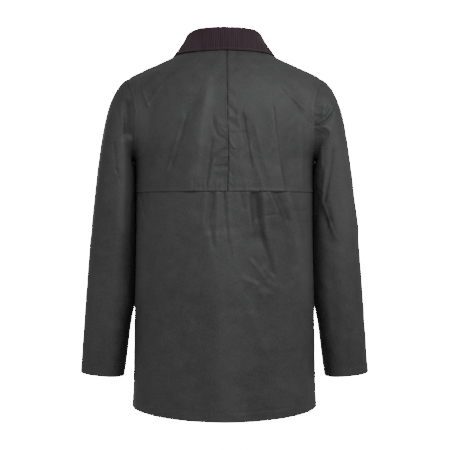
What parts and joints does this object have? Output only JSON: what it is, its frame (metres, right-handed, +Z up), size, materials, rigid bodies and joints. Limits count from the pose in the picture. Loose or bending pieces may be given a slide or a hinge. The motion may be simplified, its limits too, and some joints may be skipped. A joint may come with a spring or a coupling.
{
  "type": "waxed cotton jacket",
  "caption": "Hip-length waxed jacket in worn shape with set-in sleeves, split upper back over a plain lower back, a fold-over corduroy collar and a front zip",
  "frame": {"origin": "Midway between the high points of the shoulders, where the neck seam meets each shoulder seam, level with them.", "axes": "+Z up along the worn jacket, -Y the way the wearer faces, +X to the wearer's left."},
  "size_m": [0.626, 0.2878, 0.8184],
  "materials": {
    "waxed_cotton": "dark olive-grey cotton with a dull wax sheen",
    "corduroy": "dark brown fine-wale corduroy, matt with a soft pile",
    "zip_tape": "dark woven tape with brass teeth",
    "brass": "satin brass, lightly aged"
  },
  "bodies": {
    "jacket": {"back_upper_left": "waxed_cotton", "back_upper_right": "waxed_cotton", "back_lower": "waxed_cotton", "front_left": "waxed_cotton", "front_right": "waxed_cotton", "sleeve_left": "waxed_cotton", "sleeve_right": "waxed_cotton", "collar": "corduroy", "zip_left": "zip_tape", "zip_right": "zip_tape", "zip_slider": "brass"},
    "pull": {"zip_pull": "brass"}
  },
  "joints": [
    {"name": "pull_swing", "type": "hinge", "parent": "jacket", "child": "pull", "pos_m": [0, -0.10378, -0.10317], "axis": [-1, 0, 0], "range_deg": [0, 150]}
  ]
}
